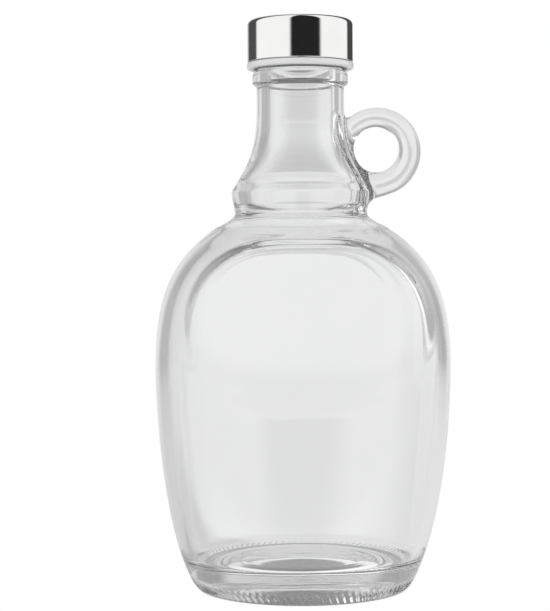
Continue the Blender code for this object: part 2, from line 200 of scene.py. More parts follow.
def neck_rows():
    """The groove, the bulge and the neck above the shoulder, and the finish."""
    shoulder = np.array([SHOULDER_END_RADIUS, SHOULDER_END_HEIGHT])
    inward = np.array([-math.sin(SHOULDER_END_TURN), math.cos(SHOULDER_END_TURN)])
    groove = (GROOVE_RADIUS, GROOVE_HEIGHT)
    bulge = (BULGE_RADIUS, BULGE_HEIGHT)
    foot = (NECK_RADIUS, NECK_FOOT_HEIGHT)
    leaving = shoulder + GROOVE_PULL_AT_SHOULDER * inward
    points = curve(shoulder, leaving, raised(groove, -GROOVE_PULL_BELOW), groove, 12)
    leaving = raised(groove, GROOVE_PULL_ABOVE)
    points += curve(groove, leaving, raised(bulge, -BULGE_PULL_BELOW), bulge, 8)
    leaving = raised(bulge, BULGE_PULL_ABOVE)
    points += curve(bulge, leaving, raised(foot, -NECK_PULL_AT_FOOT), foot, 34)
    points += straight(points, (NECK_RADIUS, BEAD_BOTTOM - BEAD_FILLET), 8)
    bead_side = BEAD_RADIUS - BEAD_ROUNDING
    points += curve(
        points[-1],
        (NECK_RADIUS, BEAD_BOTTOM),
        (bead_side - BEAD_EASE, BEAD_BOTTOM + BEAD_EASE),
        (bead_side + BEAD_EDGE_OUT, BEAD_BOTTOM + BEAD_EDGE_UP),
        5,
    )
    points += arc((bead_side, BEAD_BOTTOM + BEAD_SIDE_UP), BEAD_ROUNDING, -50, 0, 4)
    points += arc((bead_side, BEAD_TOP - BEAD_ROUNDING), BEAD_ROUNDING, 0, 85, 6)
    points += curve(
        points[-1],
        (FINISH_RADIUS + FINISH_FILLET / 2, BEAD_TOP),
        (FINISH_RADIUS, BEAD_TOP + FINISH_EASE),
        (FINISH_RADIUS, BEAD_TOP + FINISH_FILLET),
        4,
    )
    lip = (FINISH_RADIUS - LIP_ROUNDING, GLASS_HEIGHT - LIP_ROUNDING)
    points += straight(points, (FINISH_RADIUS, lip[1]), 10)
    points += arc(lip, LIP_ROUNDING, 0, 90, 5)[1:]
    return points


def inside_rows():
    """The cavity from the mouth down to the middle of the floor."""
    outer = wall_outline(steps_below=32, steps_above=56)
    moved = [None]
    for before, here, after in zip(outer, outer[1:], outer[2:]):
        along = (after - before) / np.linalg.norm(after - before)
        moved.append(here + WALL * np.array([-along[1], along[0]]))
    first, last = 4, 76
    rising = moved[first + 1] - moved[first - 1]
    rising = rising / np.linalg.norm(rising)
    closing = moved[last] - moved[last - 1]
    closing = closing / np.linalg.norm(closing)
    floor = (FLOOR_RADIUS, FLOOR_HEIGHT)
    centre = (0.0, FLOOR_HEIGHT + FLOOR_CROWN)
    foot = (BORE_RADIUS, BORE_FOOT_HEIGHT)
    flat = (FLOOR_RADIUS * FLOOR_FLAT_SHARE, centre[1])
    points = curve(centre, flat, (FLOOR_RADIUS - FLOOR_PULL_INWARD, FLOOR_HEIGHT), floor, 20)
    level = (floor[0] + FLOOR_PULL_OUTWARD, floor[1])
    points += curve(floor, level, moved[first] - INNER_WALL_PULL_BELOW * rising, moved[first], 14)
    points += moved[first + 2 : last + 1 : 2]
    points += curve(
        moved[last],
        moved[last] + INNER_WALL_PULL_ABOVE * closing,
        raised(WAIST_BORE, -WAIST_BORE_PULL_BELOW),
        WAIST_BORE,
        12,
    )
    points += curve(
        WAIST_BORE,
        raised(WAIST_BORE, WAIST_BORE_PULL_ABOVE),
        raised(BULGE_BORE, -BULGE_BORE_PULL_BELOW),
        BULGE_BORE,
        8,
    )
    points += curve(
        BULGE_BORE,
        raised(BULGE_BORE, BULGE_BORE_PULL_ABOVE),
        raised(foot, -BORE_PULL_AT_FOOT),
        foot,
        30,
    )
    lip = (BORE_RADIUS + LIP_ROUNDING, GLASS_HEIGHT - LIP_ROUNDING)
    points += straight(points, (BORE_RADIUS, lip[1]), 12)
    points += arc(lip, LIP_ROUNDING, 180, 95, 4)[1:]
    return points[::-1]


def glass_preform():
    """A round parison with every row of the finished jug, its base centre first."""
    bands = [
        (base_rows(), COLUMNS, 0.0),
        (heel_rows(), KNURL_COLUMNS, 0.0),
        (wall_outline(steps_below=60, steps_above=60)[1:] + neck_rows(), COLUMNS, 0.0),
        (inside_rows(), COLUMNS, 1.0),
    ]
    mesh = bmesh.new()
    inside = mesh.verts.layers.float.new("inside")
    knurled = mesh.verts.layers.float.new("knurled")
    run = mesh.verts.layers.float.new("run")
    bottom = mesh.verts.new((0.0, 0.0, PUSH_UP))
    rows = []
    travelled = 0.0
    last = None
    for points, columns, is_inside in bands:
        for share, (radius, height) in enumerate(points, 1):
            here = np.array([radius, height])
            travelled += 0.0 if last is None else float(np.linalg.norm(here - last))
            last = here
            row = []
            for i in range(columns):
                turn = 2 * math.pi * i / columns
                vert = mesh.verts.new((radius * math.cos(turn), radius * math.sin(turn), height))
                vert[inside] = is_inside
                vert[run] = travelled
                if columns == KNURL_COLUMNS:
                    past = max(0.0, share / (len(points) + 1) - KNURL_FROM) / (1 - KNURL_FROM)
                    vert[knurled] = math.sin(math.pi * past) ** 0.5
                row.append(vert)
            rows.append(row)
    top = mesh.verts.new((0.0, 0.0, FLOOR_HEIGHT + FLOOR_CROWN))
    top[inside] = 1.0
    for low, high in zip(rows, rows[1:]):
        bridged(mesh, low, high)
    count = len(rows[0])
    for i in range(count):
        j = (i + 1) % count
        mesh.faces.new((bottom, rows[0][j], rows[0][i]))
        mesh.faces.new((top, rows[-1][i], rows[-1][j]))
    data = bpy.data.meshes.new("glass_flagon")
    mesh.to_mesh(data)
    mesh.free()
    thing = bpy.data.objects.new("glass_flagon", data)
    bpy.context.scene.collection.objects.link(thing)
    return thing


def bridged(mesh, low, high):
    """Faces between two rows, of which one may have three points to the other's one."""
    count = min(len(low), len(high))
    for i in range(count):
        j = (i + 1) % count
        if len(low) == len(high):
            mesh.faces.new((low[i], low[j], high[j], high[i]))
        elif len(low) < len(high):
            a, b, c, d = high[3 * i], high[3 * i + 1], high[3 * i + 2], high[3 * j]
            mesh.faces.new((low[i], b, a))
            mesh.faces.new((low[i], low[j], c, b))
            mesh.faces.new((low[j], d, c))
        else:
            a, b, c, d = low[3 * i], low[3 * i + 1], low[3 * i + 2], low[3 * j]
            mesh.faces.new((a, b, high[i]))
            mesh.faces.new((b, c, high[j], high[i]))
            mesh.faces.new((c, d, high[j]))


class Wire:
    """A value on its way through a node tree. Python's operators on it add Math nodes."""

    def __init__(self, tree, socket=None):
        self.tree = tree
        self.socket = socket

    def node(self, kind, settings=None, sockets=None, output=0):
        """Adds a node: first its settings, then the values or links of its sockets."""
        made = self.tree.nodes.new(kind)
        for name, value in (settings or {}).items():
            setattr(made, name, value)
        for key, value in (sockets or {}).items():
            for link in value if isinstance(value, list) else [value]:
                if isinstance(link, Wire):
                    self.tree.links.new(link.socket, made.inputs[key])
                else:
                    made.inputs[key].default_value = link
        return Wire(self.tree, made.outputs[output])

    def maths(self, operation, *values):
        return self.node("ShaderNodeMath", {"operation": operation}, dict(enumerate(values)))

    def eased(self, low, high, start, end):
        """Passes from one value to another between two limits, with level tangents."""
        return self.node(
            "ShaderNodeMapRange",
            {"interpolation_type": "SMOOTHSTEP"},
            {0: self, 1: low, 2: high, 3: start, 4: end},
        )

    def parts(self):
        """The x, y and z of a vector."""
        split = self.node("ShaderNodeSeparateXYZ", None, {0: self}).socket.node
        return [Wire(self.tree, socket) for socket in split.outputs]

    def __add__(self, other):
        return self.maths("ADD", self, other)

    def __radd__(self, other):
        return self.maths("ADD", other, self)

    def __sub__(self, other):
        return self.maths("SUBTRACT", self, other)

    def __rsub__(self, other):
        return self.maths("SUBTRACT", other, self)

    def __mul__(self, other):
        return self.maths("MULTIPLY", self, other)

    def __rmul__(self, other):
        return self.maths("MULTIPLY", other, self)

    def __truediv__(self, other):
        return self.maths("DIVIDE", self, other)

    def __rtruediv__(self, other):
        return self.maths("DIVIDE", other, self)

    def __pow__(self, other):
        return self.maths("POWER", self, other)

    def __abs__(self):
        return self.maths("ABSOLUTE", self)


def sized_tree(name, sizes):
    """An empty geometry tree with its sizes as named inputs, and a wire from each."""
    tree = bpy.data.node_groups.new(name, "GeometryNodeTree")
    tree.interface.new_socket("Geometry", in_out="OUTPUT", socket_type="NodeSocketGeometry")
    tree.interface.new_socket("Geometry", in_out="INPUT", socket_type="NodeSocketGeometry")
    for label in sizes:
        tree.interface.new_socket(label, in_out="INPUT", socket_type="NodeSocketFloat")
    tree.interface.new_socket("Material", in_out="INPUT", socket_type="NodeSocketMaterial")
    entry = tree.nodes.new("NodeGroupInput")
    return {socket.name: Wire(tree, socket) for socket in entry.outputs if socket.name}


def closed_tree(geometry, surface):
    """Ends a geometry tree in real geometry that has its material."""
    real = geometry.node("GeometryNodeRealizeInstances", None, {"Geometry": geometry})
    dressed = real.node("GeometryNodeSetMaterial", None, {"Geometry": real, "Material": surface})
    leave = geometry.tree.nodes.new("NodeGroupOutput")
    geometry.tree.links.new(dressed.socket, leave.inputs[0])
    return geometry.tree


def shaped(thing, tree, sizes, surface):
    """Runs a geometry tree on an object and keeps the result as its plain mesh."""
    change = thing.modifiers.new(tree.name, "NODES")
    change.node_group = tree
    for item in tree.interface.items_tree:
        if item.in_out == "INPUT" and item.name in sizes:
            change[item.identifier] = sizes[item.name]
        if item.in_out == "INPUT" and item.name == "Material":
            change[item.identifier] = surface
    evaluated = thing.evaluated_get(bpy.context.evaluated_depsgraph_get())
    result = bpy.data.meshes.new_from_object(evaluated)
    thing.modifiers.clear()
    thing.data = result
    return thing


PRESSING = {
    "Round Exponent": 2.0,
    "Full Exponent": 2.8,
    "Full From": 0.060,
    "Full To": 0.138,
    "Round From": 0.151,
    "Belly Depth Ratio": 0.835,
    "Belly To": 0.080,
    "Shoulder Depth Ratio": 0.893,
    "Shoulder From": 0.102,
    "Shoulder To": 0.142,
    "Panel Centre Height": 0.109,
    "Panel Foot Height": 0.0757,
    "Panel Half Depth": 0.0440,
    "Panel Lean": 0.2066,
    "Panel Upright Radius": 0.625,
    "Panel Level Radius": 0.250,
    "Crease At Top": 0.0010,
    "Crease At Sides": 0.0025,
    "Crease At Foot": 0.0040,
    "Panel Wall": PANEL_WALL,
    "Groove Height": GROOVE_HEIGHT,
    "Knurl Bars": 96.0,
    "Knurl Depth": 0.0009,
    "Knurl Slant": 700.0,
}


def pressing_tree():
    """Presses the round parison to the flask's section, then knurls its bearing ring."""
    size = sized_tree("press_flask", PRESSING)
    start = size["Geometry"]
    place = start.node("GeometryNodeInputPosition")
    x, y, z = place.parts()
    width = (x * x + y * y) ** 0.5
    across = abs(x) / width
    along = abs(y) / width
    exponent = z.eased(0.0, size["Full From"], size["Round Exponent"], size["Full Exponent"])
    exponent = exponent + z.eased(
        size["Full To"], size["Round From"], 0.0, size["Round Exponent"] - size["Full Exponent"]
    )
    belly, shoulder = size["Belly Depth Ratio"], size["Shoulder Depth Ratio"]
    ratio = z.eased(size["Belly To"], size["Shoulder From"], belly, shoulder)
    ratio = ratio + z.eased(size["Shoulder To"], size["Round From"], 0.0, 1 - shoulder)
    below = 1 - z / size["Panel Foot Height"]
    below = below.maths("MAXIMUM", below, 0.0)
    ratio = ratio + (1 - belly) * below * below
    crease = z.eased(
        size["Belly To"], size["Panel Centre Height"], size["Crease At Foot"], size["Crease At Sides"]
    )
    crease = crease + z.eased(
        size["Panel Centre Height"], size["Full To"], 0.0, size["Crease At Top"] - size["Crease At Sides"]
    )
    above = z.maths("MINIMUM", z, size["Groove Height"]) - size["Panel Centre Height"]
    inside = start.node(
        "GeometryNodeInputNamedAttribute", {"data_type": "FLOAT"}, {"Name": "inside"}
    )
    panel = size["Panel Half Depth"] - size["Panel Lean"] * above
    panel = panel - above * above / (2 * size["Panel Upright Radius"]) - size["Panel Wall"] * inside
    full = (across**exponent + (along / ratio) ** exponent) ** (-1 / exponent) * width
    bow = along * along + 2 * panel * across * across / size["Panel Level Radius"]
    cut = 2 * panel / (along + bow**0.5)
    overlap = z.maths("MAXIMUM", crease - abs(full - cut), 0.0) / crease
    radius = z.maths("MINIMUM", full, cut) - overlap * overlap * crease / 4
    pressed = start.node(
        "ShaderNodeCombineXYZ", None, {0: x / width * radius, 1: y / width * radius, 2: z}
    )
    off_axis = start.node(
        "FunctionNodeCompare", {"operation": "GREATER_THAN", "data_type": "FLOAT"}, {0: width, 1: 1e-6}
    )
    flask = start.node(
        "GeometryNodeSetPosition", None, {"Geometry": start, "Selection": off_axis, "Position": pressed}
    )
    knurled = start.node(
        "GeometryNodeInputNamedAttribute", {"data_type": "FLOAT"}, {"Name": "knurled"}
    )
    run = start.node("GeometryNodeInputNamedAttribute", {"data_type": "FLOAT"}, {"Name": "run"})
    turn = z.maths("ARCTAN2", y, x)
    wave = z.maths("COSINE", turn * size["Knurl Bars"] + run * size["Knurl Slant"])
    depth = (wave - 1) * knurled * size["Knurl Depth"] / 2
    outward = start.node("GeometryNodeInputNormal")
    bars = start.node("ShaderNodeVectorMath", {"operation": "SCALE"}, {0: outward, "Scale": depth})
    ringed = flask.node("GeometryNodeSetPosition", None, {"Geometry": flask, "Offset": bars})
    return closed_tree(ringed, size["Material"])


def clear_glass():
    """Clear glass, a little grey in its depth and very slightly waved on its surface."""
    made = bpy.data.materials.new("clear_flint_glass")
    made.use_nodes = True
    tree = made.node_tree
    shader = tree.nodes["Principled BSDF"]
    shader.inputs["Roughness"].default_value = 0.0
    shader.inputs["IOR"].default_value = 1.5
    shader.inputs["Transmission Weight"].default_value = 1.0
    start = Wire(tree)
    place = start.node("ShaderNodeTexCoord", output="Object")
    waves = start.node("ShaderNodeTexNoise", None, {"Vector": place, "Scale": 55.0, "Detail": 1.0})
    colour = start.node(
        "ShaderNodeMix",
        {"data_type": "RGBA"},
        {"Factor": waves, 6: (0.985, 0.992, 0.99, 1.0), 7: (1.0, 1.0, 1.0, 1.0)},
        output=2,
    )
    surface = start.node("ShaderNodeBump", None, {"Strength": 0.5, "Distance": 0.00004, "Height": waves})
    depth = start.node(
        "ShaderNodeVolumeAbsorption", None, {"Color": (0.0, 0.0, 0.0, 1.0), "Density": 4.0}
    )
    tree.links.new(colour.socket, shader.inputs["Base Color"])
    tree.links.new(surface.socket, shader.inputs["Normal"])
    tree.links.new(depth.socket, tree.nodes["Material Output"].inputs["Volume"])
    return made


RING = {
    "Ring Radius": 0.01357,
    "Tube Radius": 0.00437,
    "Centre Out": 0.03095,
    "Centre Up": 0.1775,
    "Hole Shift Out": -0.00025,
    "Hole Shift Up": 0.0004,
    "Leg Turn": math.radians(-74.0),
    "Leg Length": 0.0100,
    "Leg Start Taper": 0.0002,
    "Root Squeeze": 0.15,
    "Thread Radius": 0.0012,
    "Thread Path": FINISH_RADIUS - 0.0001,
    "Thread Start": 0.2155,
    "Thread Rise": 0.0063,
    "Thread Turns": 1.5,
}
RING_STEPS = 132
TUBE_SIDES = 48
LEG_STEPS = 16
THREAD_STEPS = 100
THREAD_SIDES = 12
# The thread has its full size between the first and the last eighth of its length.
THREAD_EIGHTHS = 8
THREAD_TIP = 0.05


def ring_tree():
    """Fuses the finger ring, its leg and the screw thread with the blown flask."""
    size = sized_tree("fuse_ring_and_thread", RING)
    flask = size["Geometry"]

    def tube(path, radius, sides):
        profile = path.node(
            "GeometryNodeCurvePrimitiveCircle", None, {"Resolution": sides, "Radius": 1.0}
        )
        return path.node(
            "GeometryNodeCurveToMesh",
            None,
            {"Curve": path, "Profile Curve": profile, "Scale": radius, "Fill Caps": True},
        )

    def point(x, y, z):
        return flask.node("ShaderNodeCombineXYZ", None, {0: x, 1: y, 2: z})

    def thickness(out, up):
        """The tube's radius where the ring points out and up by these shares."""
        return size["Tube Radius"] - size["Hole Shift Out"] * out - size["Hole Shift Up"] * up

    x, y, z = flask.node("GeometryNodeInputPosition").parts()
    hoop = flask.node(
        "GeometryNodeCurvePrimitiveCircle",
        None,
        {"Resolution": RING_STEPS, "Radius": size["Ring Radius"]},
    )
    hoop_radius = thickness(x / size["Ring Radius"], y / size["Ring Radius"])
    kept = hoop.node(
        "GeometryNodeStoreNamedAttribute",
        {"data_type": "FLOAT", "domain": "POINT"},
        {"Geometry": hoop, "Name": "thickness", "Value": hoop_radius},
    )
    stood = kept.node(
        "GeometryNodeSetPosition",
        None,
        {"Geometry": kept, "Position": point(x + size["Centre Out"], 0.0, y + size["Centre Up"])},
    )
    stored = flask.node("GeometryNodeInputNamedAttribute", {"data_type": "FLOAT"}, {"Name": "thickness"})
    ring = tube(stood, stored, TUBE_SIDES)

    out = flask.maths("COSINE", size["Leg Turn"])
    up = flask.maths("SINE", size["Leg Turn"])
    start_x = size["Centre Out"] + size["Ring Radius"] * out
    start_z = size["Centre Up"] + size["Ring Radius"] * up
    line = flask.node(
        "GeometryNodeCurvePrimitiveLine",
        None,
        {
            "Start": point(start_x, 0.0, start_z),
            "End": point(start_x + size["Leg Length"] * up, 0.0, start_z - size["Leg Length"] * out),
        },
    )
    line = line.node("GeometryNodeResampleCurve", None, {"Curve": line, "Count": LEG_STEPS})
    share = line.node("GeometryNodeSplineParameter")
    leg = tube(line, thickness(out, up) - size["Leg Start Taper"] * (1 - share), TUBE_SIDES)

    width = (x * x + y * y) ** 0.5
    far = 0.1
    inner = flask.node(
        "GeometryNodeRaycast",
        {"data_type": "FLOAT"},
        {
            "Target Geometry": flask,
            "Source Position": point(0.0, 0.0, z),
            "Ray Direction": point(x, y, 0.0),
            "Ray Length": far,
        },
        output="Hit Distance",
    )
    outer = flask.node(
        "GeometryNodeRaycast",
        {"data_type": "FLOAT"},
        {
            "Target Geometry": flask,
            "Source Position": point(x / width * far, y / width * far, z),
            "Ray Direction": point(0 - x, 0 - y, 0.0),
            "Ray Length": far,
        },
        output="Hit Distance",
    )
    middle = (inner + (far - outer)) / 2
    pressed = width.maths("MAXIMUM", width, middle - (middle - width) * size["Root Squeeze"])
    limbs = [
        limb.node(
            "GeometryNodeSetPosition",
            None,
            {"Geometry": limb, "Position": point(x / width * pressed, y / width * pressed, z)},
        )
        for limb in (ring, leg)
    ]

    index = flask.node("GeometryNodeInputIndex")
    share = index / (THREAD_STEPS - 1)
    turn = share * size["Thread Turns"] * (2 * math.pi)
    helix = flask.node("GeometryNodeCurvePrimitiveLine")
    helix = helix.node("GeometryNodeResampleCurve", None, {"Curve": helix, "Count": THREAD_STEPS})
    fade = share.maths("MINIMUM", share * THREAD_EIGHTHS, (1 - share) * THREAD_EIGHTHS)
    fade = fade.maths("MINIMUM", fade.maths("MAXIMUM", fade, THREAD_TIP), 1.0)
    helix = helix.node(
        "GeometryNodeStoreNamedAttribute",
        {"data_type": "FLOAT", "domain": "POINT"},
        {"Geometry": helix, "Name": "thickness", "Value": fade * size["Thread Radius"]},
    )
    helix = helix.node(
        "GeometryNodeSetPosition",
        None,
        {
            "Geometry": helix,
            "Position": point(
                turn.maths("COSINE", turn) * size["Thread Path"],
                turn.maths("SINE", turn) * size["Thread Path"],
                size["Thread Start"] + share * size["Thread Rise"],
            ),
        },
    )
    thread = tube(helix, stored, THREAD_SIDES)
    fused = flask.node(
        "GeometryNodeMeshBoolean",
        {"operation": "UNION", "solver": "MANIFOLD"},
        {"Mesh 2": [flask, *limbs, thread]},
    )
    return closed_tree(fused, size["Material"])


FILLET_AT_NECK = 0.0034
FILLET_AT_LEG = 0.0030
LEG_FILLET_START = 0.01
# The region of the ring's roots, and how far from the polished surface its points may lie.
ROOTS_INNER = 0.004
ROOTS_BOTTOM = BULGE_HEIGHT - 0.009
ROOTS_TOP = BEAD_BOTTOM - 0.001
ROOTS_HALF_DEPTH = 0.024
ROOTS_REACH = 0.0018
POLISHING_PASSES = 8


def smooth_union(first, second, rounding):
    """The distance to two bodies whose joint is filled in by a soft rounding."""
    overlap = np.maximum(rounding - np.abs(first - second), 0.0) / rounding
    return np.minimum(first, second) - overlap**2 * rounding / 4


def root_distance(points):
    """About how far points lie outside neck, ring and leg, which run into each other."""
    outline = np.array(neck_rows())
    neck_radius = np.interp(points[:, 2], outline[:, 1], outline[:, 0])
    neck_slope = np.interp(points[:, 2], outline[:, 1], np.gradient(outline[:, 0], outline[:, 1]))
    neck = (np.hypot(points[:, 0], points[:, 1]) - neck_radius) / np.sqrt(1 + neck_slope**2)
    out = points[:, 0] - RING["Centre Out"]
    up = points[:, 2] - RING["Centre Up"]
    reach = np.hypot(out, up)
    tube = RING["Tube Radius"] - (RING["Hole Shift Out"] * out + RING["Hole Shift Up"] * up) / reach
    ring = np.hypot(reach - RING["Ring Radius"], points[:, 1]) - tube
    turn = RING["Leg Turn"]
    start = RING["Ring Radius"] * np.array([math.cos(turn), math.sin(turn)])
    ahead = np.array([math.sin(turn), -math.cos(turn)])
    along = np.clip((out - start[0]) * ahead[0] + (up - start[1]) * ahead[1], 0.0, RING["Leg Length"])
    leg_tube = RING["Tube Radius"] - (
        RING["Hole Shift Out"] * math.cos(turn) + RING["Hole Shift Up"] * math.sin(turn)
    )
    aside = np.hypot(out - start[0] - along * ahead[0], up - start[1] - along * ahead[1])
    leg = np.hypot(aside, points[:, 1]) - leg_tube
    leg_fillet = FILLET_AT_LEG * np.maximum(along / RING["Leg Length"], LEG_FILLET_START)
    return smooth_union(neck, smooth_union(ring, leg, leg_fillet), FILLET_AT_NECK)


def slope_of(points):
    """How fast the distance grows along x, y and z at each point."""
    step = 1e-5
    slopes = []
    for axis in np.eye(3):
        ahead = root_distance(points + step * axis)
        behind = root_distance(points - step * axis)
        slopes.append((ahead - behind) / (2 * step))
    return np.stack(slopes, 1)


def fire_polished(thing):
    """Rounds the roots of the ring and its leg, and gives the whole jug true normals."""
    data = thing.data
    places = np.zeros(len(data.vertices) * 3)
    data.vertices.foreach_get("co", places)
    places = places.reshape(-1, 3)
    near = (places[:, 2] > ROOTS_BOTTOM) & (places[:, 2] < ROOTS_TOP)
    near &= (places[:, 0] > ROOTS_INNER) & (np.abs(places[:, 1]) < ROOTS_HALF_DEPTH)
    near[near] = np.abs(root_distance(places[near])) < ROOTS_REACH
    for _ in range(POLISHING_PASSES):
        slope = slope_of(places[near])
        share = root_distance(places[near]) / (slope**2).sum(1)
        places[near] -= slope * share[:, None]
    data.vertices.foreach_set("co", places.ravel())
    data.update()
    normals = np.zeros(len(data.vertices) * 3)
    data.vertex_normals.foreach_get("vector", normals)
    normals = normals.reshape(-1, 3)
    slope = slope_of(places[near])
    normals[near] = slope / np.linalg.norm(slope, axis=1)[:, None]
    data.normals_split_custom_set_from_vertices(normals.tolist())


glass = clear_glass()
flagon = shaped(glass_preform(), pressing_tree(), PRESSING, glass)
flagon = shaped(flagon, ring_tree(), RING, glass)
flagon.data.shade_smooth()
fire_polished(flagon)
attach(flagon, "root")
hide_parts("jug_glass")

# The screw cap's insert, injection-moulded from white plastic. It fills the steel shell,
# grips the glass thread, and its flanged rim shows under the steel.

CAP_RADIUS = 0.0214
CAP_TOP = 0.2303
CAP_BOTTOM = 0.2132
CAP_CORNER = 0.0020
CAP_SHEET = 0.0005
RIM_RADIUS = 0.0217
RIM_BOTTOM = 0.2105
RIM_ROUNDING = 0.0008
RIM_TOP_ROUNDING = 0.0003
INSERT_BORE = 0.0189
INSERT_TOP_THICKNESS = 0.0015
INSERT_MOUTH_ROUNDING = 0.0004
INSERT_TOP_BEVEL = 0.0003
INSERT_FLANGE_BEVEL = 0.0001
GAP = 0.0003
CAP_COLUMNS = 256


def turned(name, outline):
    """A closed turned body from an outline that begins and ends on the axis."""
    mesh = bmesh.new()
    rows = []
    for radius, height in outline:
        if radius < 1e-6:
            rows.append([mesh.verts.new((0.0, 0.0, height))])
            continue
        turns = [2 * math.pi * i / CAP_COLUMNS for i in range(CAP_COLUMNS)]
        rows.append([mesh.verts.new((radius * math.cos(a), radius * math.sin(a), height)) for a in turns])
    for low, high in zip(rows, rows[1:]):
        for i in range(CAP_COLUMNS):
            j = (i + 1) % CAP_COLUMNS
            corners = [low[i % len(low)], low[j % len(low)], high[j % len(high)], high[i % len(high)]]
            mesh.faces.new(list(dict.fromkeys(corners)))
    data = bpy.data.meshes.new(name)
    mesh.to_mesh(data)
    mesh.free()
    data.shade_smooth()
    thing = bpy.data.objects.new(name, data)
    bpy.context.scene.collection.objects.link(thing)
    return thing


def insert_outline():
    """Radius and height from under the insert's top out over its rim and up."""
    radius = CAP_RADIUS - CAP_SHEET - GAP
    top = CAP_TOP - CAP_SHEET - GAP
    corner = CAP_CORNER - CAP_SHEET - GAP
    under = top - INSERT_TOP_THICKNESS
    rim_top = CAP_BOTTOM - GAP
    mouth = (INSERT_BORE + INSERT_MOUTH_ROUNDING, RIM_BOTTOM + INSERT_MOUTH_ROUNDING)
    points = [(0.0, under)]
    points += straight(points, (INSERT_BORE - INSERT_TOP_BEVEL, under), 6)
    points += straight(points, (INSERT_BORE, under - INSERT_TOP_BEVEL), 2)
    points += straight(points, (INSERT_BORE, mouth[1]), 8)
    points += arc(mouth, INSERT_MOUTH_ROUNDING, 180, 270, 4)[1:]
    points += arc((RIM_RADIUS - RIM_ROUNDING, RIM_BOTTOM + RIM_ROUNDING), RIM_ROUNDING, -90, 0, 8)
    rim_edge = (RIM_RADIUS - RIM_TOP_ROUNDING, rim_top - RIM_TOP_ROUNDING)
    points += arc(rim_edge, RIM_TOP_ROUNDING, 0, 90, 5)
    points += straight(points, (radius + INSERT_FLANGE_BEVEL, rim_top), 2)
    points += straight(points, (radius, rim_top + INSERT_FLANGE_BEVEL), 1)
    points += straight(points, (radius, top - corner), 8)
    points += arc((radius - corner, top - corner), corner, 0, 90, 8)[1:]
    points += straight(points, (0.0, top), 8)
    return points


def white_plastic():
    """Glossy white plastic, a little duller in patches."""
    made = bpy.data.materials.new("moulded_white_plastic")
    made.use_nodes = True
    tree = made.node_tree
    shader = tree.nodes["Principled BSDF"]
    start = Wire(tree)
    place = start.node("ShaderNodeTexCoord", output="Object")
    cloud = start.node("ShaderNodeTexNoise", None, {"Vector": place, "Scale": 160.0, "Detail": 3.0})
    grain = start.node("ShaderNodeTexNoise", None, {"Vector": place, "Scale": 2600.0, "Detail": 2.0})
    colour = start.node(
        "ShaderNodeMix",
        {"data_type": "RGBA"},
        {"Factor": cloud, 6: (0.84, 0.84, 0.845, 1.0), 7: (0.90, 0.90, 0.90, 1.0)},
        output=2,
    )
    dents = start.node("ShaderNodeBump", None, {"Strength": 0.08, "Distance": 0.00005, "Height": grain})
    gloss = 0.24 + cloud * 0.12
    tree.links.new(colour.socket, shader.inputs["Base Color"])
    tree.links.new(gloss.socket, shader.inputs["Roughness"])
    tree.links.new(dents.socket, shader.inputs["Normal"])
    return made


insert = turned("cap_insert_moulding", insert_outline())
insert.data.materials.append(white_plastic())
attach(insert, "root")
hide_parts("cap_insert")

# The cap's shell, a cup drawn from thin stainless steel sheet and polished on a lathe.
# Its free edge is rounded, and its corner runs softly into the flat top.


def shell_outline():
    """Radius and height from inside the cup's top, round its free edge and up."""
    inner_radius = CAP_RADIUS - CAP_SHEET
    corner = (CAP_RADIUS - CAP_CORNER, CAP_TOP - CAP_CORNER)
    edge = CAP_SHEET / 2
    points = [(0.0, CAP_TOP - CAP_SHEET)]
    points += straight(points, (corner[0], CAP_TOP - CAP_SHEET), 8)
    points += arc(corner, CAP_CORNER - CAP_SHEET, 90, 0, 10)[1:]
    points += straight(points, (inner_radius, CAP_BOTTOM + edge), 8)
    points += arc((CAP_RADIUS - edge, CAP_BOTTOM + edge), edge, 180, 360, 8)[1:]
    points += straight(points, (CAP_RADIUS, CAP_BOTTOM + 2 * edge), 1)
    points += straight(points, (CAP_RADIUS, corner[1]), 6)
    points += arc(corner, CAP_CORNER, 0, 90, 14)[1:]
    points += straight(points, (0.0, CAP_TOP), 10)
    return points


def polished_steel():
    """Bright steel with faint turning lines around the axis and a few dull patches."""
    made = bpy.data.materials.new("lathe_polished_steel")
    made.use_nodes = True
    tree = made.node_tree
    shader = tree.nodes["Principled BSDF"]
    shader.inputs["Metallic"].default_value = 1.0
    shader.inputs["Anisotropic"].default_value = 0.35
    start = Wire(tree)
    place = start.node("ShaderNodeTexCoord", output="Object")
    x, y, z = place.parts()
    width = (x * x + y * y) ** 0.5
    ring = start.node("ShaderNodeCombineXYZ", None, {0: width * 40, 1: 0.0, 2: z * 40})
    lines = start.node("ShaderNodeTexNoise", None, {"Vector": ring, "Scale": 180.0, "Detail": 4.0})
    cloud = start.node("ShaderNodeTexNoise", None, {"Vector": place, "Scale": 90.0, "Detail": 4.0})
    colour = start.node(
        "ShaderNodeMix",
        {"data_type": "RGBA"},
        {"Factor": cloud, 6: (0.64, 0.64, 0.635, 1.0), 7: (0.69, 0.69, 0.685, 1.0)},
        output=2,
    )
    scratch = start.node("ShaderNodeBump", None, {"Strength": 0.03, "Distance": 0.00002, "Height": lines})
    gloss = 0.04 + lines * 0.04 + cloud * 0.03
    tree.links.new(colour.socket, shader.inputs["Base Color"])
    tree.links.new(gloss.socket, shader.inputs["Roughness"])
    tree.links.new(scratch.socket, shader.inputs["Normal"])
    return made


shell = turned("cap_shell_pressing", shell_outline())
shell.data.materials.append(polished_steel())
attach(shell, "root")
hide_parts("cap_shell")

# The room: a white sweep behind and under the jug. The camera sees it plain white, the
# glass and the steel see the lights around it, and the dark gaps between them.

FLOOR_REACH = 12.0
FLOOR_DROP = 0.0002
CAMERA_BEARING = -4.0
FIRST_BEARING = -60.0
ROOM_ON_WHITE = 0.82
